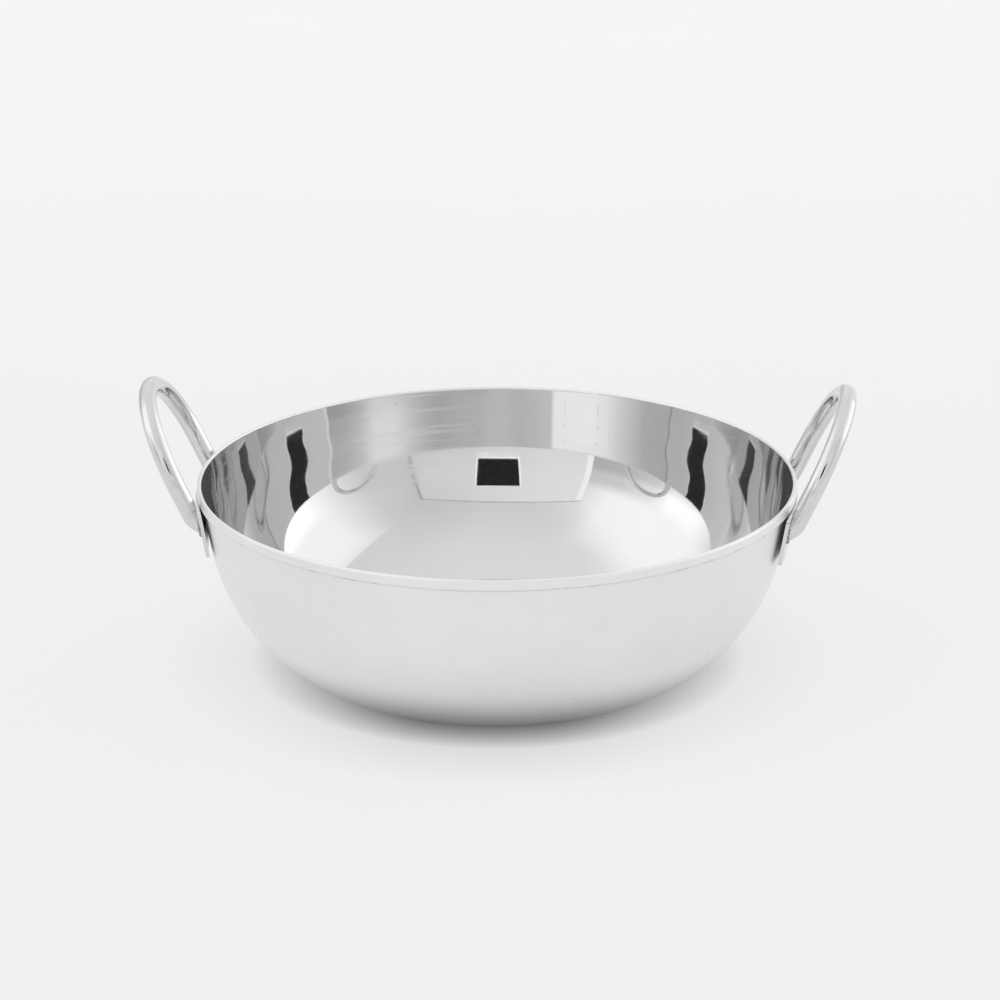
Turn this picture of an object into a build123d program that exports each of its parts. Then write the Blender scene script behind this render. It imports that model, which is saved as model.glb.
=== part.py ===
from build123d import *
import math
import os

# A kadai: an open, flat-bottomed cooking bowl of pressed stainless sheet with two ring handles.
# Units are millimetres. +Z is up, and the origin is the middle of the base, on the surface
# that the bowl stands on. The handles lie on the X axis, and the front of the bowl faces -Y.

# Bowl
SHEET = 0.9              # thickness of the pressed sheet
RIM_RADIUS = 132.0       # outside of the folded rim
DEPTH = 83.5             # from the surface it stands on to the top of the rim
HEM_HEIGHT = 4.6         # height of the sheet folded down outside the rim
HEM_EDGE_ROUND = 0.3     # rounding of the folded sheet's cut edge
WALL_TILT = 9.6          # degrees, lean of the upper wall from upright
CONE_FOOT_HEIGHT = 59.6  # height above the base where the straight upper wall starts
SHOULDER_RADIUS = 105.5  # outside curve where the straight wall starts to turn in
SHOULDER_END = 17.4      # degrees, lean of the wall where the tighter belly starts
BELLY_RADIUS = 78.6      # outside curve of the lower wall
HEEL_RADIUS = 20.0       # outside curve between the wall and the flat base

# Brackets, one bent strip under each handle
BRACKET_THICKNESS = 1.6
BRACKET_HEIGHT = 21.0
BRACKET_LENGTH = 79.0    # straight across, from end to end
BRACKET_BEND_RADIUS = 195.0   # inside of the bend, flatter than the bowl, so the ends stand off
BRACKET_CORNER = 2.0     # rounding of the four corners
BRACKET_DROP = 0.5       # clearance under the hem
WALL_CLEARANCE = 0.3     # gap between the wall and the middle of the bracket

# Spot welds between each bracket and the bowl
SPOT_RADIUS = 2.5
SPOT_SPACING = 24.0      # along the bracket
SPOT_ROWS_APART = 11.0   # up the bracket
SPOT_DENT = 0.25         # depth of the electrode mark on the bracket's outer face

# Handles, one bent round rod on each side
ROD_RADIUS = 4.0
FOOT_FROM_END = 5.0          # from the bracket's end in to the foot line
FOOT_BELOW_RIM = 12.4        # from the rim's top down to the foot line
FOOT_STANDOFF = 1.3          # from the bracket's face out to where leg and foot lines meet
FOOT_BEND_RADIUS = 8.0       # middle of the rod
HANDLE_TILT = 25.0           # degrees, lean of the ring from upright
LEG_FLARE = 1.0              # degrees, spread of the legs in the ring's plane
LEG_LENGTH = 17.5            # straight part of each leg, from the foot line
SIDE_BEND_RADIUS = 41.0      # middle of the rod
SIDE_BEND_END = 38.0         # degrees, inward lean where the side bend meets the top bend

# Weld beads round the handle feet
BEAD_LEG = 1.6

# One overrun past a face for every cut
OVERRUN = 10.0


def wall_points():
    """Corners and curve centres of the bowl's outer section, as (radius, height) pairs."""
    tilt, belly_lean = math.radians(WALL_TILT), math.radians(SHOULDER_END)
    hem_low = DEPTH - HEM_HEIGHT
    neck = (RIM_RADIUS - SHEET - (HEM_HEIGHT - SHEET) * math.tan(tilt), hem_low)
    cone_end = (neck[0] - (hem_low - CONE_FOOT_HEIGHT) * math.tan(tilt), CONE_FOOT_HEIGHT)
    shoulder = (cone_end[0] - SHOULDER_RADIUS * math.cos(tilt),
                cone_end[1] + SHOULDER_RADIUS * math.sin(tilt))
    tighter = SHOULDER_RADIUS - BELLY_RADIUS
    belly = (shoulder[0] + tighter * math.cos(belly_lean), shoulder[1] - tighter * math.sin(belly_lean))
    turn = math.asin((belly[1] - HEEL_RADIUS) / (BELLY_RADIUS - HEEL_RADIUS))
    heel = (belly[0] + (BELLY_RADIUS - HEEL_RADIUS) * math.cos(turn), HEEL_RADIUS)
    return neck, cone_end, shoulder, belly, heel, math.degrees(turn)


def curved_wall(offset, top):
    """The heel, belly, shoulder and straight wall up to top, moved in from the outside by offset, as edges."""
    _, cone_end, shoulder, belly, heel, turn = wall_points()
    tilt = math.radians(WALL_TILT)
    inward = (-math.cos(tilt), math.sin(tilt))
    heel_arc = CenterArc(heel, HEEL_RADIUS - offset, -90, 90 - turn)
    belly_arc = CenterArc(belly, BELLY_RADIUS - offset, -turn, turn - SHOULDER_END)
    shoulder_arc = CenterArc(shoulder, SHOULDER_RADIUS - offset, -SHOULDER_END, SHOULDER_END - WALL_TILT)
    straight = Line((cone_end[0] + inward[0] * offset, cone_end[1] + inward[1] * offset), top)
    return [heel_arc, belly_arc, shoulder_arc, straight], (heel[0], offset)


def bowl():
    """One pressed sheet: flat base, round heel, curved belly, straight wall and a rim folded outward."""
    neck = wall_points()[0]
    tilt = math.radians(WALL_TILT)
    fold = (RIM_RADIUS - SHEET, DEPTH - SHEET)
    throat = (fold[0] - SHEET * math.cos(tilt), fold[1] + SHEET * math.sin(tilt))
    outer, base_out = curved_wall(0, neck)
    inner, base_in = curved_wall(SHEET, throat)
    hem_low = DEPTH - HEM_HEIGHT
    hem_corner = (RIM_RADIUS - HEM_EDGE_ROUND, hem_low + HEM_EDGE_ROUND)
    hem = [
        Line(neck, (RIM_RADIUS - HEM_EDGE_ROUND, hem_low)),
        CenterArc(hem_corner, HEM_EDGE_ROUND, -90, 90),
        Line((RIM_RADIUS, hem_low + HEM_EDGE_ROUND), (RIM_RADIUS, fold[1])),
        CenterArc(fold, SHEET, 0, 180 - WALL_TILT),
    ]
    base = [Line(base_in, (0, SHEET)), Line((0, SHEET), (0, 0)), Line((0, 0), base_out)]
    section = make_face(Wire(outer + hem + inner + base))
    return revolve(Plane.XZ * section, Axis.Z, 360)


def filled_bowl():
    """The space inside the bowl's outer face, up to the hem, for cutting what seats on the wall."""
    neck = wall_points()[0]
    outer, base_out = curved_wall(0, neck)
    axis = [Line(neck, (0, neck[1])), Line((0, neck[1]), (0, 0)), Line((0, 0), base_out)]
    return revolve(Plane.XZ * make_face(Wire(outer + axis)), Axis.Z, 360)


def bracket_levels():
    """Heights of the bracket's lower and upper edges."""
    top = DEPTH - HEM_HEIGHT - BRACKET_DROP
    return top - BRACKET_HEIGHT, top


def bracket_radius(height, depth_in):
    """Radius of the bracket's bend at a height, depth_in outside its inner face."""
    top = bracket_levels()[1]
    return BRACKET_BEND_RADIUS + depth_in - (top - height) * math.tan(math.radians(WALL_TILT))


def bend_axis_x():
    """Where the upright axis of the right bracket's bend stands on X."""
    neck = wall_points()[0]
    top = bracket_levels()[1]
    wall_x = neck[0] - (neck[1] - top) * math.tan(math.radians(WALL_TILT))
    return wall_x + WALL_CLEARANCE - bracket_radius(top, 0)


def bracket_cone(depth_in, low, high):
    """The space inside a face of the bracket, carried on round its bend axis."""
    low_edge, high_edge = (bracket_radius(low, depth_in), low), (bracket_radius(high, depth_in), high)
    section = make_face(Polyline((0, low), low_edge, high_edge, (0, high), close=True))
    return Pos(bend_axis_x(), 0, 0) * revolve(Plane.XZ * section, Axis.Z, 360)


def bracket_face_plane(across, height):
    """A plane on the bracket's outer face, its normal pointing outward."""
    radius = bracket_radius(height, BRACKET_THICKNESS)
    turned, lean = math.asin(across / radius), math.radians(WALL_TILT)
    outward = (math.cos(turned) * math.cos(lean), math.sin(turned) * math.cos(lean), -math.sin(lean))
    return Plane(origin=(bend_axis_x() + radius * math.cos(turned), across, height), z_dir=outward)


def spot_planes():
    """The plane of each spot weld on the bracket's outer face."""
    middle = sum(bracket_levels()) / 2
    sides = (-SPOT_SPACING / 2, SPOT_SPACING / 2)
    rows = (middle - SPOT_ROWS_APART / 2, middle + SPOT_ROWS_APART / 2)
    return [bracket_face_plane(across, height) for across in sides for height in rows]


def bracket():
    """The right bracket: a strip bent to a flatter curve than the wall, dented at its spot welds."""
    low, high = bracket_levels()
    strip = bracket_cone(BRACKET_THICKNESS, low, high) - bracket_cone(0, low - OVERRUN, high + OVERRUN)
    outline = Plane(origin=(0, 0, (low + high) / 2), x_dir=(0, 1, 0), z_dir=(1, 0, 0))
    blank = outline * RectangleRounded(BRACKET_LENGTH, BRACKET_HEIGHT, BRACKET_CORNER)
    strip = strip & extrude(blank, RIM_RADIUS + OVERRUN)
    for place in spot_planes():
        strip = strip - extrude(place.offset(-SPOT_DENT) * Circle(SPOT_RADIUS), OVERRUN)
    return strip


def spot_welds(plate, inside_wall):
    """The four nuggets that fill the gap between the right bracket and the wall."""
    nuggets = []
    for place in spot_planes():
        bar = extrude(place.offset(-BRACKET_THICKNESS / 2) * Circle(SPOT_RADIUS), -OVERRUN)
        nuggets.extend((bar - inside_wall - plate).solids())
    return Compound(children=nuggets)


def foot_across():
    """How far each foot line is from the middle of the bracket, along Y."""
    return BRACKET_LENGTH / 2 - FOOT_FROM_END


def foot_height():
    """Height of the straight line that each foot follows into its bracket."""
    return DEPTH - FOOT_BELOW_RIM


def ring_place(across, along):
    """A point in the right handle's leaning plane, across from its middle and along it."""
    tilt = math.radians(HANDLE_TILT)
    face = bracket_face_plane(foot_across(), foot_height()).origin
    reach = face.X + FOOT_STANDOFF
    return Vector(reach + along * math.sin(tilt), across, foot_height() + along * math.cos(tilt))


def ring_edges():
    """The middle line of the ring from one leg over the top to the other leg, all in one plane."""
    flare, lean_in = math.radians(LEG_FLARE), math.radians(SIDE_BEND_END)
    leg_top = (foot_across() + LEG_LENGTH * math.sin(flare), LEG_LENGTH * math.cos(flare))
    centre = (leg_top[0] - SIDE_BEND_RADIUS * math.cos(flare),
              leg_top[1] + SIDE_BEND_RADIUS * math.sin(flare))

    def on_side(angle):
        return centre[0] + SIDE_BEND_RADIUS * math.cos(angle), centre[1] + SIDE_BEND_RADIUS * math.sin(angle)

    side_mid, side_end = on_side((lean_in - flare) / 2), on_side(lean_in)
    top_radius = side_end[0] / math.cos(lean_in)
    crown = (0, side_end[1] - top_radius * math.sin(lean_in) + top_radius)
    return leg_top, side_mid, side_end, crown


def foot_bend(side):
    """The bend between a foot and its leg: its start, end and centre, and the way from start to centre."""
    corner = ring_place(side * foot_across(), 0)
    leg_top = ring_edges()[0]
    leg = (ring_place(side * leg_top[0], leg_top[1]) - corner).normalized()
    foot = Vector(-1, 0, 0)
    opening = math.radians(leg.get_angle(foot))
    reach = FOOT_BEND_RADIUS / math.tan(opening / 2)
    centre = corner + (leg + foot).normalized() * (FOOT_BEND_RADIUS / math.sin(opening / 2))
    start = corner + foot * reach
    return start, corner + leg * reach, centre, (centre - start).normalized()


def on_foot_bend(side, turned):
    """A point of the foot bend and its heading, after turning by an angle from the foot line."""
    start, _, centre, rise = foot_bend(side)
    outward = Vector(1, 0, 0)
    point = centre + (outward * math.sin(turned) - rise * math.cos(turned)) * FOOT_BEND_RADIUS
    return point, outward * math.cos(turned) + rise * math.sin(turned)


def foot_arc(side):
    """The foot bend as a curve, from the foot line to the leg."""
    start, end, centre, _ = foot_bend(side)
    turn = math.radians((start - centre).get_angle(end - centre))
    return ThreePointArc(start, on_foot_bend(side, turn / 2)[0], end)


def rod_path():
    """The whole middle line of the right handle, from foot to foot."""
    leg_top, side_mid, side_end, crown = ring_edges()
    near = [ring_place(-across, along) for across, along in (leg_top, side_mid, side_end)]
    far = [ring_place(across, along) for across, along in (leg_top, side_mid, side_end)]
    near_foot, far_foot = foot_arc(-1), foot_arc(1)
    inward = Vector(-OVERRUN, 0, 0)
    return Wire([
        Line((near_foot @ 0) + inward, near_foot @ 0),
        near_foot,
        Line(near_foot @ 1, near[0]),
        ThreePointArc(near[0], near[1], near[2]),
        ThreePointArc(near[2], ring_place(*crown), far[2]),
        ThreePointArc(far[2], far[1], far[0]),
        Line(far[0], far_foot @ 1),
        far_foot,
        Line(far_foot @ 0, (far_foot @ 0) + inward),
    ])


def handle(inside_bracket):
    """The right handle: one round rod, its two feet cut to sit on the bracket's outer face."""
    path = rod_path()
    section = Plane(origin=path @ 0, z_dir=path % 0) * Circle(ROD_RADIUS)
    return sweep(section, path) - inside_bracket


def weld_beads(rod, inside_bracket):
    """The two fillet beads round the right handle's feet, on the bracket's outer face."""
    low, high = bracket_levels()
    level = Pos(RIM_RADIUS, 0, (low + high) / 2) * Box(RIM_RADIUS, BRACKET_LENGTH, BRACKET_HEIGHT)
    beads = []
    taper = Pos(0, 0, BEAD_LEG / 2) * Cone(ROD_RADIUS + 2 * BEAD_LEG, ROD_RADIUS - BEAD_LEG, 3 * BEAD_LEG)
    for side in (-1, 1):
        start = foot_bend(side)[0]
        face = bracket_face_plane(side * foot_across(), start.Z).origin
        point, heading = on_foot_bend(side, math.asin((face.X - start.X) / FOOT_BEND_RADIUS))
        collar = (Plane(origin=point, z_dir=heading) * taper) & level
        beads.extend((collar - rod - inside_bracket).solids())
    return Compound(children=beads)


def write(node, shape):
    """Write one sub-part to its own file."""
    export_step(shape, os.path.join("parts", node + ".step"))


def main():
    os.makedirs("parts", exist_ok=True)
    low, high = bracket_levels()
    inside_bracket = bracket_cone(BRACKET_THICKNESS, low - OVERRUN, high + OVERRUN)
    plate = bracket()
    rod = handle(inside_bracket)
    right = {
        "handle": rod,
        "bracket": plate,
        "handle_welds": weld_beads(rod, inside_bracket),
        "bracket_welds": spot_welds(plate, filled_bowl()),
    }
    write("bowl", bowl())
    for name, shape in right.items():
        write(name + "_right", shape)
        write(name + "_left", mirror(shape, about=Plane.YZ))


main()
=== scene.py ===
import math

import bpy
from mathutils import Matrix, Vector, noise


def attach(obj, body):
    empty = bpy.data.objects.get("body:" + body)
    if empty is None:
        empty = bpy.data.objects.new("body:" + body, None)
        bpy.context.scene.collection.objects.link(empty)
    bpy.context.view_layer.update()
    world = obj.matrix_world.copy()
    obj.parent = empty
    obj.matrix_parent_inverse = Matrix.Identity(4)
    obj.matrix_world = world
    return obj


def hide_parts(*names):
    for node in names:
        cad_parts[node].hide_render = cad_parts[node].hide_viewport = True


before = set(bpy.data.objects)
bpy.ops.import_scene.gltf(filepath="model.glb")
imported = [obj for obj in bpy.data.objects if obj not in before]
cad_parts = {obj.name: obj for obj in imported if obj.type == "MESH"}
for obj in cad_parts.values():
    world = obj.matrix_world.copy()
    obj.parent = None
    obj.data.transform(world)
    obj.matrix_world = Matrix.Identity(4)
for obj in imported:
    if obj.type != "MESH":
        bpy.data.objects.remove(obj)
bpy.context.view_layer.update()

# Looks of a polished steel kadai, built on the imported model. Metres, +Z up, the handles along X and
# the front of the bowl towards -Y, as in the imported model. Levels and tones are shares of white.

MM = 0.001

# The bowl's outer section, the same values as in the part's source, in millimetres
SHEET = 0.9
RIM_RADIUS = 132.0
DEPTH = 83.5
HEM_HEIGHT = 4.6
HEM_EDGE_ROUND = 0.3
WALL_TILT = 9.6
CONE_FOOT_HEIGHT = 59.6
SHOULDER_RADIUS = 105.5
SHOULDER_END = 17.4
BELLY_RADIUS = 78.6
HEEL_RADIUS = 20.0

# How finely the bowl is cut: round its axis, along each part of its section, and across its flat base
BOWL_SEGMENTS = 360
HEEL_STEPS, BELLY_STEPS, SHOULDER_STEPS = 24, 44, 12
INNER_CONE_STEPS, OUTER_CONE_STEPS = 52, 16
HEM_EDGE_STEPS, HEM_STEPS, FOLD_STEPS = 4, 4, 14
BASE_RADII = (0.0, 20.0, 40.0, 60.0, 76.0)

# Slight waves that pressing and buffing left in the inner wall, and its turn at the mouth, as leans in
# degrees. Each fade is a pair of heights in millimetres, from none to all of it.
RIPPLE_LEAN = 0.32
RIPPLE_LENGTH = 11.0
RIPPLE_FADE = (53.0, 62.0)
MOUTH_LEAN = -1.7
MOUTH_FADE = (61.0, 79.0)
SHIFT_FADE = (26.0, 57.0)

# The ring handles' lean from upright in degrees, their plane's distance from the axis, and where their feet
# meet the brackets
RING_LEAN = 25.0
RING_PLANE = 0.0871
FOOT_ASIDE = 0.0345
FOOT_HEIGHT = 0.0711
FOOT_REACH = 0.128
BRACKET_BEND_RADIUS = 0.195

# Weld beads round the feet: their circle, its wander, their thickness and its shares that stay, that ripple
# and that wander, how far they stand off the strip, and the ripples in half a turn
BEAD_RING, BEAD_RING_WANDER = 0.00425, 0.00022
BEAD_THICK = 0.00085
BEAD_STEADY, BEAD_RIPPLE, BEAD_WANDER = 0.84, 0.22, 0.20
BEAD_STANDOFF = 0.0001
BEAD_RIPPLES = 15
BEAD_STEPS_AROUND, BEAD_STEPS_ACROSS = 144, 14

# Camera, fitted to the outline in the photograph. Angles in degrees, lens and sensor in millimetres.
CAMERA_DISTANCE = 1.6246
CAMERA_ELEVATION = 18.91
CAMERA_TURN = 2.94
CAMERA_ROLL = -0.22
CAMERA_AIM = (0.00128, 0.0, 0.07232)
CAMERA_RISE = 0.08339
CAMERA_LENS = 132.56
CAMERA_SENSOR = 36.0
CAMERA_CLIP = (0.05, 50.0)

# Middle of a patch of the inner wall where the last hand buffing shows as streaks, and how far it reaches
RUBBED_PLACE = (-0.046, 0.114, 0.068)
RUBBED_REACH = (0.012, 0.044)

# Floor: half its width, the tones of its paper, and its own light near the pan and far behind it
FLOOR_HALF = 6.0
PAPER_TONES = (0.125, 0.14)
FLOOR_GLOW = (0.745, 0.785)
GLOW_DEPTHS = (0.1, 1.3)
# The floor's own light keeps a share everywhere and loses the rest close to the pan, over two distances.
# At the pan's sides less is lost.
GLOW_KEPT = 0.12
TOUCH_REACH, TOUCH_SHARE = 0.014, 0.60
HALO_REACH, HALO_SHARE = 0.045, 0.28
SIDE_FADE, SIDE_SHARE = (0.02, 0.11), 0.55
OPENNESS_SAMPLES = 16

# The studio as a plain room round the pan. Places on the front wall, which is the one behind the camera, and
# on the ceiling are shares of the distance to it.
ROOM_RIGHT, ROOM_LEFT = 0.84, 0.78
ROOM_HEIGHT = 0.885
ROOM_EDGE_SIDE, ROOM_EDGE_TOP, ROOM_EDGE_AHEAD = 0.01, 0.008, 0.002
# The level that the camera itself sees behind the floor
BACKDROP_SEEN = 0.88

# Light of the side walls by the angle round from the camera, in degrees, at two heights
RIGHT_WALL_LOW = ((40, 0.76), (62, 0.80), (80, 1.15), (95, 1.50),
                  (112, 1.66), (138, 1.60), (140.5, 1.04), (166, 0.90))
RIGHT_WALL_HIGH = ((40, 0.76), (60, 0.85), (75, 1.08), (86, 1.25), (125, 1.28), (150, 1.0), (166, 0.90))
LEFT_WALL_LOW = ((40, 0.78), (52, 0.82), (68, 1.06), (78, 1.46), (95, 1.42),
                 (108, 1.06), (114, 0.94), (131, 0.72), (150, 0.84), (170, 0.90))
LEFT_WALL_HIGH = ((36, 1.02), (50, 1.28), (62, 1.30), (104, 1.30), (130, 0.92), (170, 0.90))
# Rise in degrees over which the low levels pass into the high ones, and those into one level at the top
RIGHT_WALL_TURNS, RIGHT_WALL_ENDS, RIGHT_WALL_TOP = (19.0, 26.0), (41.0, 51.0), 1.02
LEFT_WALL_TURNS, LEFT_WALL_ENDS, LEFT_WALL_TOP = (19.0, 28.0), (54.0, 68.0), 1.06
LEFT_WALL_FOOT, LEFT_FOOT_SHARE = (11.0, 16.5), 0.76

# Ceiling: its levels above the pan and at the front wall, what it loses to the right, and where it passes
# into the side walls
CEILING_DEPTHS, CEILING_LEVELS = (0.0, 1.2), (0.97, 0.84)
CEILING_RIGHTWARD, CEILING_LOSS = (0.0, 0.9), 0.07
CEILING_RIGHT_EDGE, CEILING_LOW_EDGE = (0.90, 0.92), (2.0, 6.0)
CEILING_LEFT_EDGE = (-0.25, -0.95)

# Front wall: its levels from left to right, its share of them at the foot, and a darker skirting
FRONT_PLACES, FRONT_LEVELS = (-0.7, 0.8), (1.02, 0.86)
FRONT_FOOT, FRONT_FOOT_SHARE = (0.0, 0.5), 0.95
SKIRTING_EDGE, SKIRTING_LEVEL = (0.03, 0.09), 0.71
# Seams beside its right, left and top edges: place from the edge, half width, softness and level
RIGHT_SEAM = (-0.022, 0.008, 0.008, 0.26)
LEFT_SEAM = (0.042, 0.028, 0.010, 1.22)
TOP_SEAM = (-0.014, 0.005, 0.008, 0.50)

# The dark opening that the camera looks through, on a sheet in front of the pan. The lean is how much wider
# its top is than its foot, as a share of its width.
WINDOW_AWAY = 1.0
WINDOW_LOW, WINDOW_HIGH = 0.312, 0.700
WINDOW_LEFT, WINDOW_RIGHT = -0.128, 0.215
WINDOW_LEAN = 0.18
WINDOW_FRAME = 0.014
WINDOW_SILL = 0.07
WINDOW_LAYER = 0.01
SILL_LEVEL, FRAME_LEVEL, DARK_LEVEL = 1.0, 1.3, 0.008
PATCHY_SHARES = (0.8, 1.2)

# The least that is divided by, so that it is never by zero
TINY_SHARE = 0.0001
TINY_RADIUS = 0.001

# Blue in the greys, as a share of red and green
GREY_BLUE = 0.995


class Graph:
    """Short calls for building a node tree. A number or a socket can be given for any input."""

    def __init__(self, tree):
        self.tree = tree
        self.nodes = tree.nodes
        self.nodes.clear()

    def put(self, socket, value):
        if isinstance(value, bpy.types.NodeSocket):
            self.tree.links.new(value, socket)
        else:
            socket.default_value = value

    def put_all(self, sockets, values):
        for socket, value in zip(sockets, values):
            self.put(socket, value)

    def math(self, operation, *values):
        made = self.nodes.new("ShaderNodeMath")
        made.operation = operation
        self.put_all(made.inputs, values)
        return made.outputs[0]

    def plus(self, a, b):
        return self.math("ADD", a, b)

    def minus(self, a, b):
        return self.math("SUBTRACT", a, b)

    def times(self, a, b):
        return self.math("MULTIPLY", a, b)

    def over(self, a, b):
        return self.math("DIVIDE", a, b)

    def size(self, a):
        return self.math("ABSOLUTE", a)

    def step(self, value, low, high, to_low=0.0, to_high=1.0):
        """Smooth step from to_low at low to to_high at high."""
        made = self.nodes.new("ShaderNodeMapRange")
        made.interpolation_type = "SMOOTHSTEP"
        names = ("Value", "From Min", "From Max", "To Min", "To Max")
        self.put_all([made.inputs[name] for name in names], (value, low, high, to_low, to_high))
        return made.outputs["Result"]

    def fade(self, value, low, high):
        """Smooth step from 1 at low to 0 at high."""
        return self.step(value, low, high, 1.0, 0.0)

    def mix(self, factor, a, b):
        """Linear mix of two numbers."""
        made = self.nodes.new("ShaderNodeMix")
        made.data_type = "FLOAT"
        self.put_all((made.inputs[0], made.inputs[2], made.inputs[3]), (factor, a, b))
        return made.outputs[0]

    def mix_colour(self, factor, a, b):
        made = self.nodes.new("ShaderNodeMix")
        made.data_type = "RGBA"
        self.put_all((made.inputs[0], made.inputs[6], made.inputs[7]), (factor, a, b))
        return made.outputs[2]

    def grey(self, value):
        """A very slightly warm grey of that level."""
        made = self.nodes.new("ShaderNodeCombineColor")
        self.put_all(made.inputs, (value, value, self.times(value, GREY_BLUE)))
        return made.outputs[0]

    def vector(self, x, y, z):
        made = self.nodes.new("ShaderNodeCombineXYZ")
        self.put_all(made.inputs, (x, y, z))
        return made.outputs[0]

    def split(self, vector):
        made = self.nodes.new("ShaderNodeSeparateXYZ")
        self.put(made.inputs[0], vector)
        return made.outputs[0], made.outputs[1], made.outputs[2]

    def distance(self, vector, point):
        made = self.nodes.new("ShaderNodeVectorMath")
        made.operation = "DISTANCE"
        self.put_all(made.inputs, (vector, point))
        return made.outputs["Value"]

    def noise(self, vector, scale=1.0, detail=3.0, roughness=0.5):
        made = self.nodes.new("ShaderNodeTexNoise")
        names = ("Vector", "Scale", "Detail", "Roughness")
        self.put_all([made.inputs[name] for name in names], (vector, scale, detail, roughness))
        return made.outputs["Fac"]

    def ramp(self, value, stops):
        """Straight lines between (place, level) stops. Levels may go up to 2."""
        made = self.nodes.new("ShaderNodeValToRGB")
        self.put(made.inputs[0], value)
        elements = made.color_ramp.elements
        while len(elements) < len(stops):
            elements.new(0.5)
        for element, (place, level) in zip(elements, stops):
            element.position = place
            element.color = (level / 2, level / 2, level / 2, 1)
        return self.times(self.split(made.outputs[0])[0], 2.0)

    def bump(self, height, distance):
        made = self.nodes.new("ShaderNodeBump")
        self.put_all((made.inputs["Height"], made.inputs["Distance"]), (height, distance))
        return made.outputs["Normal"]

    def output(self, kind, surface):
        self.put(self.nodes.new(kind).inputs["Surface"], surface)


def new_material(name):
    material = bpy.data.materials.new(name)
    material.use_nodes = True
    return material, Graph(material.node_tree)


def steel_material(name, build):
    """A metal material. build(graph, shader) adds what differs from one steel piece to the next."""
    material, graph = new_material(name)
    shader = graph.nodes.new("ShaderNodeBsdfPrincipled")
    shader.inputs["Metallic"].default_value = 1.0
    graph.output("ShaderNodeOutputMaterial", shader.outputs[0])
    build(graph, shader)
    return material


def finish_steel(graph, shader, colour, rough, normal):
    graph.put(shader.inputs["Base Color"], colour)
    graph.put(shader.inputs["Roughness"], rough)
    graph.put(shader.inputs["Normal"], normal)


def object_place(graph):
    return graph.nodes.new("ShaderNodeTexCoord").outputs["Object"]


def hoop_place(graph, around, up):
    """Object place with its axes scaled so that a noise on it runs in rings round the bowl's axis."""
    x, y, z = graph.split(object_place(graph))
    radius = graph.math("SQRT", graph.plus(graph.times(x, x), graph.times(y, y)))
    length = graph.math("MAXIMUM", radius, TINY_RADIUS)
    cosine, sine = graph.over(x, length), graph.over(y, length)
    level = graph.times(graph.plus(z, radius), up)
    return graph.vector(graph.times(cosine, around), graph.times(sine, around), level)


def inside_steel(graph, shader):
    """Mirror polish with rings left by the buffing wheel, faint smudges, specks and one rubbed patch."""
    clean, smudged, streaked, speck_tone = 0.705, 0.675, 0.74, 0.35
    smooth, dulled, streak_adds = 0.03, 0.06, 0.17
    tone_from, rough_from = (0.35, 0.75), (0.5, 0.8)
    streaks_from, streak_least = (0.48, 0.66), 0.35
    specks_from, speck_heights, speck_share = (0.69, 0.74), (0.045, 0.065), 0.7
    # A little less metallic towards both ends, where the mirror is paler in the photograph
    ends, metallic = (0.106, 0.124), (0.98, 0.89)
    ring_depth = 0.0000012

    place = object_place(graph)
    x, _, z = graph.split(place)
    smudge = graph.noise(place, scale=22.0, detail=5.0, roughness=0.62)
    rings = graph.noise(hoop_place(graph, around=1.2, up=2600.0), detail=2.0, roughness=0.5)
    streaks = graph.noise(hoop_place(graph, around=1.6, up=330.0), detail=3.0, roughness=0.6)
    streaks = graph.mix(graph.step(streaks, *streaks_from), streak_least, 1.0)
    streaks = graph.times(streaks, graph.fade(graph.distance(place, RUBBED_PLACE), *RUBBED_REACH))
    specks = graph.noise(place, scale=210.0, detail=4.0, roughness=0.6)
    specks = graph.times(graph.step(specks, *specks_from), graph.step(z, *speck_heights))
    tone = graph.mix(graph.step(smudge, *tone_from), clean, smudged)
    tone = graph.mix(streaks, tone, streaked)
    tone = graph.mix(graph.times(specks, speck_share), tone, speck_tone)
    rough = graph.mix(graph.step(smudge, *rough_from), smooth, dulled)
    rough = graph.plus(rough, graph.times(streaks, streak_adds))
    graph.put(shader.inputs["Metallic"], graph.step(graph.size(x), *ends, *metallic))
    finish_steel(graph, shader, graph.grey(tone), rough, graph.bump(rings, ring_depth))


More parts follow.
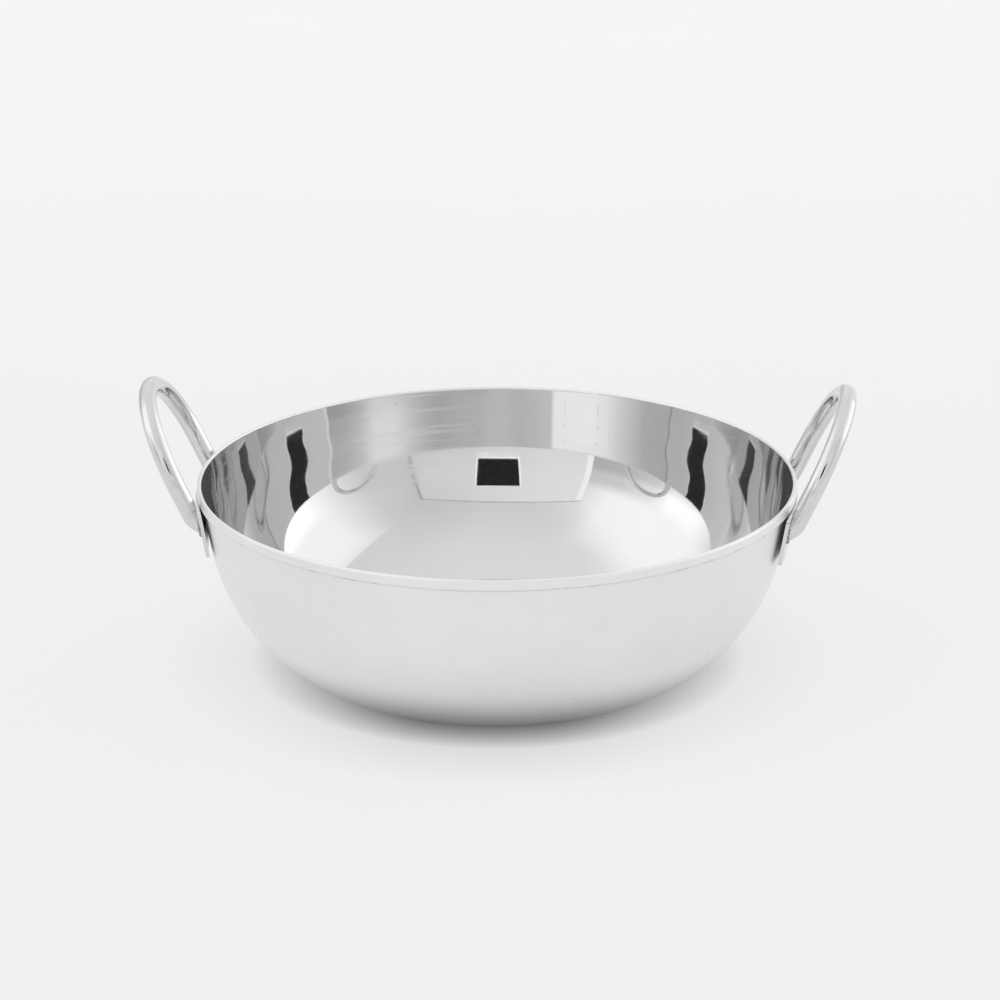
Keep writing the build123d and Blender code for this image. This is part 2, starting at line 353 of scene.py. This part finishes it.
def outside_steel(graph, shader):
    """Satin polish: rings of fine brushing, smudges, small marks, painted shade along the line under the hem,
    and painted shade that darkens it towards the heel.
    """
    # The third tone is painted shade along the line under the hem.
    clean, smudged, hem_shade_tone, speck_tone = 0.86, 0.82, 0.55, 0.5
    smooth, dulled = 0.47, 0.56
    tone_from, rough_from = (0.3, 0.75), (0.35, 0.75)
    ring_tones, ring_depth = (-0.02, 0.02), 0.000006
    # A line just under the hem, and the distances from it in metres over which the painted shade there fades,
    # in broken patches and in a steady line
    line_below = 0.0002
    hem_line = (DEPTH - HEM_HEIGHT) * MM - line_below
    hem_shade_patches_from, hem_shade_patches_fade = (0.52, 0.64), (0.0002, 0.0011)
    hem_shade_line_fade, hem_shade_line_share = (0.0002, 0.0009), 0.35
    specks_from, speck_share = (0.70, 0.76), 0.6
    # Painted shade: the heights over which the tone darkens towards the heel, and the shares of the tone kept
    # there.
    heel_shade_heights, heel_shade_shares = (0.0, 0.030), (0.70, 1.0)

    place = object_place(graph)
    z = graph.split(place)[2]
    smudge = graph.noise(place, scale=14.0, detail=6.0, roughness=0.6)
    rings = graph.noise(hoop_place(graph, around=2.0, up=1900.0), detail=3.0, roughness=0.6)
    tone = graph.mix(graph.step(smudge, *tone_from), clean, smudged)
    tone = graph.plus(tone, graph.mix(rings, *ring_tones))
    under_hem = graph.size(graph.minus(z, hem_line))
    # Painted shade under the hem: broken patches and a steady line, both darkened to the third tone.
    hem_shade_patches = graph.noise(hoop_place(graph, around=16.0, up=260.0), detail=4.0, roughness=0.65)
    hem_shade_patches = graph.times(graph.step(hem_shade_patches, *hem_shade_patches_from), graph.fade(under_hem, *hem_shade_patches_fade))
    hem_shade_line = graph.step(under_hem, *hem_shade_line_fade, hem_shade_line_share, 0.0)
    tone = graph.mix(graph.math("MAXIMUM", hem_shade_patches, hem_shade_line), tone, hem_shade_tone)
    specks = graph.step(graph.noise(place, scale=170.0, detail=4.0, roughness=0.6), *specks_from)
    tone = graph.mix(graph.times(specks, speck_share), tone, speck_tone)
    # Painted shade, darker towards the heel.
    tone = graph.times(tone, graph.step(z, *heel_shade_heights, *heel_shade_shares))
    rough = graph.mix(graph.step(smudge, *rough_from), smooth, dulled)
    finish_steel(graph, shader, graph.grey(tone), rough, graph.bump(rings, ring_depth))


def rod_steel(graph, shader):
    """Bright rod with draw lines along it, two broken lines of painted dark reflection, and handling marks.

    The lines keep to the ring's own plane, so that they follow the rod round.
    """
    # The fourth tone is painted dark reflection along the rod.
    clean, smudged, line_tone, dark_reflection_tone = 0.73, 0.67, 0.56, 0.34
    smooth, dulled, line_adds = 0.10, 0.22, 0.08
    tone_from, rough_from = (0.35, 0.75), (0.4, 0.8)
    lines_from, line_share, line_finely, line_coarsely = (0.50, 0.64), 0.5, 900.0, 9.0
    # The two lines of painted dark reflection in metres: place off the ring's plane, wander, half the space
    # between, and fades
    dark_reflection_aside, dark_reflection_wander, dark_reflection_apart = 0.0007, 0.0016, 0.00045
    dark_reflection_width, dark_reflection_heights, dark_reflection_share = (0.00012, 0.00036), (0.100, 0.114), 0.75
    gaps_from, gaps_slice = (0.40, 0.55), 5.0
    grain_depth = 0.000004

    place = object_place(graph)
    x, y, z = graph.split(place)
    smudge = graph.noise(place, scale=60.0, detail=5.0, roughness=0.6)
    lean = math.radians(RING_LEAN)
    outward = graph.minus(graph.times(graph.size(x), math.cos(lean)), graph.times(z, math.sin(lean)))
    outward = graph.minus(outward, RING_PLANE)
    drawn = graph.vector(graph.times(outward, line_finely), graph.times(y, line_coarsely),
                         graph.times(z, line_coarsely))
    lines = graph.step(graph.noise(drawn, detail=3.0, roughness=0.6), *lines_from)
    wander = graph.noise(graph.vector(0.0, y, z), scale=26.0, detail=2.0, roughness=0.5)
    # Painted reflection: two broken dark lines along the rod, kept below the top of the ring.
    dark_reflection = graph.plus(graph.plus(outward, dark_reflection_aside), graph.mix(wander, -dark_reflection_wander, dark_reflection_wander))
    dark_reflection = graph.fade(graph.size(graph.minus(graph.size(dark_reflection), dark_reflection_apart)), *dark_reflection_width)
    gaps = graph.noise(graph.vector(gaps_slice, y, z), scale=70.0, detail=2.0, roughness=0.5)
    gaps = graph.times(graph.step(gaps, *gaps_from), graph.fade(z, *dark_reflection_heights))
    dark_reflection = graph.times(dark_reflection, gaps)
    tone = graph.mix(graph.step(smudge, *tone_from), clean, smudged)
    tone = graph.mix(graph.times(lines, line_share), tone, line_tone)
    tone = graph.mix(graph.times(dark_reflection, dark_reflection_share), tone, dark_reflection_tone)
    rough = graph.mix(graph.step(smudge, *rough_from), smooth, dulled)
    rough = graph.plus(rough, graph.times(lines, line_adds))
    fine = graph.noise(place, scale=700.0, detail=3.0, roughness=0.55)
    finish_steel(graph, shader, graph.grey(tone), rough, graph.bump(fine, grain_depth))


def strip_steel(graph, shader):
    """Polished strip with duller patches."""
    clean, smudged = 0.74, 0.66
    smooth, dulled = 0.16, 0.3
    tone_from, rough_from = (0.35, 0.75), (0.4, 0.8)
    grain_depth = 0.000006

    place = object_place(graph)
    smudge = graph.noise(place, scale=40.0, detail=5.0, roughness=0.6)
    tone = graph.mix(graph.step(smudge, *tone_from), clean, smudged)
    rough = graph.mix(graph.step(smudge, *rough_from), smooth, dulled)
    fine = graph.noise(place, scale=500.0, detail=3.0, roughness=0.55)
    finish_steel(graph, shader, graph.grey(tone), rough, graph.bump(fine, grain_depth))


def weld_steel(graph, shader):
    """Weld metal: greyer, with faint straw heat tints and dark flecks."""
    plain, straw, dark = (0.40, 0.40, 0.40, 1), (0.33, 0.30, 0.27, 1), (0.12, 0.12, 0.12, 1)
    smooth, dulled = 0.3, 0.5
    tint_from, flecks_from = (0.5, 0.72), (0.52, 0.64)
    grain_depth = 0.00002

    place = object_place(graph)
    tint = graph.noise(place, scale=160.0, detail=4.0, roughness=0.6)
    colour = graph.mix_colour(graph.step(tint, *tint_from), plain, straw)
    flecks = graph.step(graph.noise(place, scale=1400.0, detail=2.0), *flecks_from)
    colour = graph.mix_colour(flecks, colour, dark)
    fine = graph.noise(place, scale=900.0)
    finish_steel(graph, shader, colour, graph.mix(tint, smooth, dulled), graph.bump(fine, grain_depth))


def mesh_object(name, points, faces, materials, smooth):
    mesh = bpy.data.meshes.new(name)
    mesh.from_pydata(points, [], faces)
    mesh.validate()
    mesh.update()
    for polygon in mesh.polygons:
        polygon.use_smooth = smooth
    for material in materials:
        mesh.materials.append(material)
    made = bpy.data.objects.new(name, mesh)
    bpy.context.scene.collection.objects.link(made)
    return made


def arc_points(centre, radius, start, end, count):
    """Points on an arc in the section, from one angle to another in degrees, both ends included."""
    for i in range(count + 1):
        angle = math.radians(start + (end - start) * i / count)
        yield centre[0] + radius * math.cos(angle), centre[1] + radius * math.sin(angle)


def line_points(start, end, count):
    for i in range(count + 1):
        share = i / count
        yield start[0] + (end[0] - start[0]) * share, start[1] + (end[1] - start[1]) * share


def eased(value, low, high):
    """Smooth step from 0 at low to 1 at high."""
    share = min(1.0, max(0.0, (value - low) / (high - low)))
    return share * share * (3 - 2 * share)


def rippled(points):
    """The inner wall with a slight change of lean at each height, summed down from the mouth."""
    moved, drift = [points[-1]], 0.0
    for (r, z), (r_above, z_above) in zip(reversed(points[:-1]), reversed(points[1:])):
        middle = (z + z_above) / 2
        wave = math.sin(2 * math.pi * (DEPTH - middle) / RIPPLE_LENGTH)
        lean = RIPPLE_LEAN * eased(middle, *RIPPLE_FADE) * wave + MOUTH_LEAN * eased(middle, *MOUTH_FADE)
        drift -= math.tan(math.radians(lean)) * (z_above - z)
        moved.append((r + drift * eased(z, *SHIFT_FADE), z))
    return list(reversed(moved))


def wall_section(offset):
    """The wall from the flat base up to the hem or the fold, moved in from the outside by offset."""
    tilt, belly_lean = math.radians(WALL_TILT), math.radians(SHOULDER_END)
    neck = (RIM_RADIUS - SHEET - (HEM_HEIGHT - SHEET) * math.tan(tilt), DEPTH - HEM_HEIGHT)
    cone_end = (neck[0] - (neck[1] - CONE_FOOT_HEIGHT) * math.tan(tilt), CONE_FOOT_HEIGHT)
    shoulder = (cone_end[0] - SHOULDER_RADIUS * math.cos(tilt),
                cone_end[1] + SHOULDER_RADIUS * math.sin(tilt))
    tighter = SHOULDER_RADIUS - BELLY_RADIUS
    belly = (shoulder[0] + tighter * math.cos(belly_lean), shoulder[1] - tighter * math.sin(belly_lean))
    turn = math.asin((belly[1] - HEEL_RADIUS) / (BELLY_RADIUS - HEEL_RADIUS))
    heel = (belly[0] + (BELLY_RADIUS - HEEL_RADIUS) * math.cos(turn), HEEL_RADIUS)
    turn = math.degrees(turn)
    fold = (RIM_RADIUS - SHEET, DEPTH - SHEET)
    top = (fold[0] - offset * math.cos(tilt), fold[1] + offset * math.sin(tilt)) if offset else neck
    foot = (cone_end[0] - offset * math.cos(tilt), cone_end[1] + offset * math.sin(tilt))
    cone_steps = INNER_CONE_STEPS if offset else OUTER_CONE_STEPS
    points = list(arc_points(heel, HEEL_RADIUS - offset, -90, -turn, HEEL_STEPS))
    points += list(arc_points(belly, BELLY_RADIUS - offset, -turn, -SHOULDER_END, BELLY_STEPS))[1:]
    points += list(arc_points(shoulder, SHOULDER_RADIUS - offset, -SHOULDER_END, -WALL_TILT,
                              SHOULDER_STEPS))[1:]
    points += list(line_points(foot, top, cone_steps))[1:]
    return rippled(points) if offset else points


def bowl_section():
    """The whole closed section as (radius, height, inside) in millimetres, from the underside's middle."""
    fold = DEPTH - SHEET
    low = DEPTH - HEM_HEIGHT
    edge = (RIM_RADIUS - HEM_EDGE_ROUND, low + HEM_EDGE_ROUND)
    outer = [(r, z, False) for r, z in wall_section(0.0)]
    inner = [(r, z, True) for r, z in reversed(wall_section(SHEET))]
    hem = [(RIM_RADIUS - HEM_EDGE_ROUND, low)]
    hem += list(arc_points(edge, HEM_EDGE_ROUND, -90, 0, HEM_EDGE_STEPS))[1:]
    hem += list(line_points((RIM_RADIUS, low + HEM_EDGE_ROUND), (RIM_RADIUS, fold), HEM_STEPS))[1:]
    hem += list(arc_points((RIM_RADIUS - SHEET, fold), SHEET, 0, 180 - WALL_TILT, FOLD_STEPS))[1:-1]
    hem = [(r, z, False) for r, z in hem]
    underside = [(r, 0.0, False) for r in BASE_RADII]
    floor = [(r, SHEET, True) for r in reversed(BASE_RADII)]
    return underside + outer + hem + inner + floor


def revolve(name, section, segments, materials):
    """Turn a section about Z into a closed smooth mesh. Points with radius 0 become poles.

    The first material is for the outside, the second for the faces between two inside points.
    """
    points, faces, slots, rows = [], [], [], []
    for radius, height, _ in section:
        if radius == 0.0:
            rows.append([len(points)] * segments)
            points.append((0.0, 0.0, height * MM))
            continue
        first = len(points)
        for i in range(segments):
            angle = 2 * math.pi * i / segments
            points.append((radius * MM * math.cos(angle), radius * MM * math.sin(angle), height * MM))
        rows.append(list(range(first, first + segments)))
    for k in range(len(rows) - 1):
        for i in range(segments):
            j = (i + 1) % segments
            corners = (rows[k][i], rows[k][j], rows[k + 1][j], rows[k + 1][i])
            kept = tuple(dict.fromkeys(corners))
            if len(kept) > 2:
                faces.append(kept)
                slots.append(1 if section[k][2] and section[k + 1][2] else 0)
    made = mesh_object(name, points, faces, materials, smooth=True)
    for polygon, slot in zip(made.data.polygons, slots):
        polygon.material_index = slot
    return made


def weld_beads(name, side, cad):
    """Two rippled fillet beads, one round each foot of a ring handle, laid on the bracket's outer face."""
    # Where the uneven shape is read in the noise: a circle, apart for each side and foot, and two finer ones
    seed_radius, seed_side, seed_end = 1.7, 5.0, 3.0
    ripple_seed, thick_seed, ripple_drift = 1.9, 3.1, 1.2
    points, faces = [], []
    around, across = BEAD_STEPS_AROUND, BEAD_STEPS_ACROSS
    lean, bend = math.radians(WALL_TILT), math.asin(FOOT_ASIDE / BRACKET_BEND_RADIUS)
    for end in (-1, 1):
        normal = Vector((side * math.cos(lean) * math.cos(bend), end * math.sin(bend), -math.sin(lean)))
        normal = normal.normalized()
        near = [v.co for v in cad.data.vertices if v.co.y * end > 0]
        level = min(co.dot(normal) for co in near)
        centre = Vector((side * FOOT_REACH, end * FOOT_ASIDE, FOOT_HEIGHT))
        centre += normal * (level - centre.dot(normal) + BEAD_STANDOFF)
        first = Vector((0, 1, 0)).cross(normal).normalized()
        second = normal.cross(first)
        start = len(points)
        for i in range(around):
            turn = 2 * math.pi * i / around
            cosine, sine = math.cos(turn), math.sin(turn)
            out = first * cosine + second * sine
            seed = Vector((cosine * seed_radius, sine * seed_radius, seed_side * side + seed_end * end))
            ring = BEAD_RING + BEAD_RING_WANDER * noise.noise(seed)
            lump = abs(math.sin(turn * BEAD_RIPPLES + ripple_drift * noise.noise(seed * ripple_seed)))
            swell = BEAD_STEADY + BEAD_RIPPLE * lump + BEAD_WANDER * noise.noise(seed * thick_seed)
            thick = BEAD_THICK * swell
            for k in range(across):
                angle = 2 * math.pi * k / across
                place = centre + out * (ring + thick * math.cos(angle)) + normal * thick * math.sin(angle)
                points.append(place)
        for i in range(around):
            here, there = start + i * across, start + (i + 1) % around * across
            for k in range(across):
                above = (k + 1) % across
                faces.append((here + k, there + k, there + above, here + above))
    return mesh_object(name, points, faces, [weld], smooth=True)


def make_camera():
    turn = Matrix.Rotation(math.radians(CAMERA_TURN), 4, "Z")
    pitch = math.radians(CAMERA_ELEVATION)
    back, higher = CAMERA_DISTANCE * math.cos(pitch), CAMERA_DISTANCE * math.sin(pitch)
    place = turn @ Vector((0.0, -back, CAMERA_RISE + higher))
    aim = turn @ Vector(CAMERA_AIM)
    forward = (aim - place).normalized()
    right = forward.cross(Vector((0, 0, 1))).normalized()
    up = right.cross(forward)
    roll = math.radians(CAMERA_ROLL)
    right, up = right * math.cos(roll) + up * math.sin(roll), up * math.cos(roll) - right * math.sin(roll)
    data = bpy.data.cameras.new("camera")
    data.lens = CAMERA_LENS
    data.sensor_width = CAMERA_SENSOR
    data.clip_start, data.clip_end = CAMERA_CLIP
    camera = bpy.data.objects.new("camera", data)
    bpy.context.scene.collection.objects.link(camera)
    camera.matrix_world = Matrix.Translation(place) @ Matrix((right, up, -forward)).transposed().to_4x4()
    bpy.context.scene.camera = camera


def make_floor():
    """A plain pale floor.

    Most of its light is its own, dimmed close to what stands on it and less so at the sides, so that the
    shadow stays near the pan as it does in the photograph.
    """
    material, graph = new_material("floor_paper")
    place = object_place(graph)
    matte = graph.nodes.new("ShaderNodeBsdfDiffuse")
    fleck = graph.noise(place, scale=6.0, detail=4.0, roughness=0.55)
    graph.put(matte.inputs["Color"], graph.grey(graph.mix(fleck, *PAPER_TONES)))

    def openness(reach):
        made = graph.nodes.new("ShaderNodeAmbientOcclusion")
        made.samples = OPENNESS_SAMPLES
        made.inputs["Distance"].default_value = reach
        return made.outputs["AO"]

    touch = graph.times(openness(TOUCH_REACH), TOUCH_SHARE)
    halo = graph.times(openness(HALO_REACH), HALO_SHARE)
    share = graph.plus(graph.plus(touch, halo), GLOW_KEPT)
    x, y, _ = graph.split(place)
    share = graph.mix(graph.step(graph.size(x), *SIDE_FADE, 0.0, SIDE_SHARE), share, 1.0)
    glow = graph.step(y, *GLOW_DEPTHS, *FLOOR_GLOW)
    lit = graph.nodes.new("ShaderNodeEmission")
    graph.put(lit.inputs["Color"], graph.grey(graph.times(share, glow)))
    both = graph.nodes.new("ShaderNodeAddShader")
    graph.put_all(both.inputs, (matte.outputs[0], lit.outputs[0]))
    graph.output("ShaderNodeOutputMaterial", both.outputs[0])

    half = FLOOR_HALF
    corners = [(-half, -half, 0), (half, -half, 0), (half, half, 0), (-half, half, 0)]
    floor = mesh_object("floor", corners, [(0, 1, 2, 3)], [material], smooth=False)


def make_world():
    """A plain pale studio by direction: front wall, ceiling, and side walls that glow behind diffusers."""
    world = bpy.data.worlds.new("studio")
    bpy.context.scene.world = world
    world.use_nodes = True
    graph = Graph(world.node_tree)
    x, y, z = graph.split(graph.nodes.new("ShaderNodeTexCoord").outputs["Generated"])
    front = graph.times(y, -1.0)
    ahead = graph.math("MAXIMUM", front, TINY_SHARE)
    above = graph.math("MAXIMUM", z, TINY_SHARE)
    # Place on the front wall, place on the ceiling, the angle round from the camera as a share of half a
    # turn, and the rise in degrees
    u, v = graph.over(x, ahead), graph.over(z, ahead)
    across, depth = graph.over(x, above), graph.over(front, above)
    around = graph.times(graph.size(graph.math("ARCTAN2", x, front)), 1 / math.pi)
    rise = graph.times(graph.math("ARCSINE", z), 180 / math.pi)

    def by_angle(levels):
        return graph.ramp(around, [(angle / 180, level) for angle, level in levels])

    right = by_angle(RIGHT_WALL_LOW)
    right = graph.mix(graph.step(rise, *RIGHT_WALL_TURNS), right, by_angle(RIGHT_WALL_HIGH))
    right = graph.mix(graph.step(rise, *RIGHT_WALL_ENDS), right, RIGHT_WALL_TOP)
    left = graph.times(by_angle(LEFT_WALL_LOW), graph.step(rise, *LEFT_WALL_FOOT, LEFT_FOOT_SHARE, 1.0))
    left = graph.mix(graph.step(rise, *LEFT_WALL_TURNS), left, by_angle(LEFT_WALL_HIGH))
    left = graph.mix(graph.step(rise, *LEFT_WALL_ENDS), left, LEFT_WALL_TOP)
    ceiling = graph.step(depth, *CEILING_DEPTHS, *CEILING_LEVELS)
    ceiling = graph.minus(ceiling, graph.step(across, *CEILING_RIGHTWARD, 0.0, CEILING_LOSS))
    on_ceiling = graph.times(graph.fade(across, *CEILING_RIGHT_EDGE), graph.step(rise, *CEILING_LOW_EDGE))
    level = graph.mix(on_ceiling, right, ceiling)
    level = graph.mix(graph.step(across, *CEILING_LEFT_EDGE), level, left)

    on_front = graph.times(graph.fade(u, ROOM_RIGHT - ROOM_EDGE_SIDE, ROOM_RIGHT),
                           graph.step(u, -ROOM_LEFT, ROOM_EDGE_SIDE - ROOM_LEFT))
    on_front = graph.times(on_front, graph.fade(v, ROOM_HEIGHT, ROOM_HEIGHT + ROOM_EDGE_TOP))
    on_front = graph.times(on_front, graph.step(front, 0.0, ROOM_EDGE_AHEAD))
    wall = graph.step(u, *FRONT_PLACES, *FRONT_LEVELS)
    wall = graph.times(wall, graph.step(v, *FRONT_FOOT, FRONT_FOOT_SHARE, 1.0))
    wall = graph.mix(graph.fade(v, *SKIRTING_EDGE), wall, SKIRTING_LEVEL)
    seams = ((u, ROOM_RIGHT, RIGHT_SEAM), (u, -ROOM_LEFT, LEFT_SEAM), (v, ROOM_HEIGHT, TOP_SEAM))
    for place, edge, (inset, half, soft, seam_level) in seams:
        low, high = edge + inset - half, edge + inset + half
        line = graph.times(graph.step(place, low - soft, low), graph.step(place, high + soft, high))
        wall = graph.mix(line, wall, seam_level)
    level = graph.mix(on_front, level, wall)

    background = graph.nodes.new("ShaderNodeBackground")
    path = graph.nodes.new("ShaderNodeLightPath")
    backdrop = (BACKDROP_SEEN, BACKDROP_SEEN, BACKDROP_SEEN, 1)
    seen = graph.mix_colour(path.outputs["Is Camera Ray"], graph.grey(level), backdrop)
    graph.put(background.inputs["Color"], seen)
    graph.output("ShaderNodeOutputWorld", background.outputs[0])


def make_window():
    """A dark opening with a pale frame and sill, near enough to shift between one reflection and the next."""
    middle = (WINDOW_LEFT + WINDOW_RIGHT) / 2
    half = (WINDOW_RIGHT - WINDOW_LEFT) / 2

    def corner(side, height, margin, layer):
        spread = 1 + WINDOW_LEAN * ((height - WINDOW_LOW) / (WINDOW_HIGH - WINDOW_LOW) - 0.5)
        return middle + side * (half * spread + margin), -WINDOW_AWAY - layer * WINDOW_LAYER, height

    def sheet(name, low, high, margin, layer, level):
        material, graph = new_material(name)
        glow = graph.nodes.new("ShaderNodeEmission")
        patch = graph.noise(object_place(graph), scale=14.0, detail=3.0, roughness=0.6)
        least, most = PATCHY_SHARES
        graph.put(glow.inputs["Color"], graph.grey(graph.mix(patch, level * least, level * most)))
        graph.output("ShaderNodeOutputMaterial", glow.outputs[0])
        places = ((-1, low), (1, low), (1, high), (-1, high))
        corners = [corner(side, height, margin, layer) for side, height in places]
        made = mesh_object(name, corners, [(0, 1, 2, 3)], [material], smooth=False)
        made.visible_camera = False
        made.visible_diffuse = False
        made.visible_shadow = False

    top = WINDOW_HIGH + WINDOW_FRAME
    sheet("window_sill", WINDOW_LOW - WINDOW_SILL, top, WINDOW_FRAME, 2, SILL_LEVEL)
    sheet("window_frame", WINDOW_LOW - WINDOW_FRAME, top, WINDOW_FRAME, 1, FRAME_LEVEL)
    sheet("window_dark", WINDOW_LOW, WINDOW_HIGH, 0.0, 0, DARK_LEVEL)


def assign(node, material):
    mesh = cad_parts[node].data
    mesh.materials.clear()
    mesh.materials.append(material)


bpy.context.scene.view_settings.view_transform = "Standard"
make_camera()
make_floor()
make_world()
make_window()

mirror = steel_material("steel_mirror_inside", inside_steel)
satin = steel_material("steel_satin_outside", outside_steel)
rod = steel_material("steel_rod", rod_steel)
strip = steel_material("steel_strip", strip_steel)
weld = steel_material("steel_weld", weld_steel)

bowl = revolve("pressed_bowl", bowl_section(), BOWL_SEGMENTS, (satin, mirror))
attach(bowl, "root")
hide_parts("bowl")

for side in ("left", "right"):
    assign("handle_" + side, rod)
    assign("bracket_" + side, strip)
    beads = weld_beads("beads_" + side, -1 if side == "left" else 1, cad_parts["handle_welds_" + side])
    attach(beads, "root")
    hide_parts("handle_welds_" + side)
    assign("bracket_welds_" + side, weld)

bpy.context.view_layer.update()
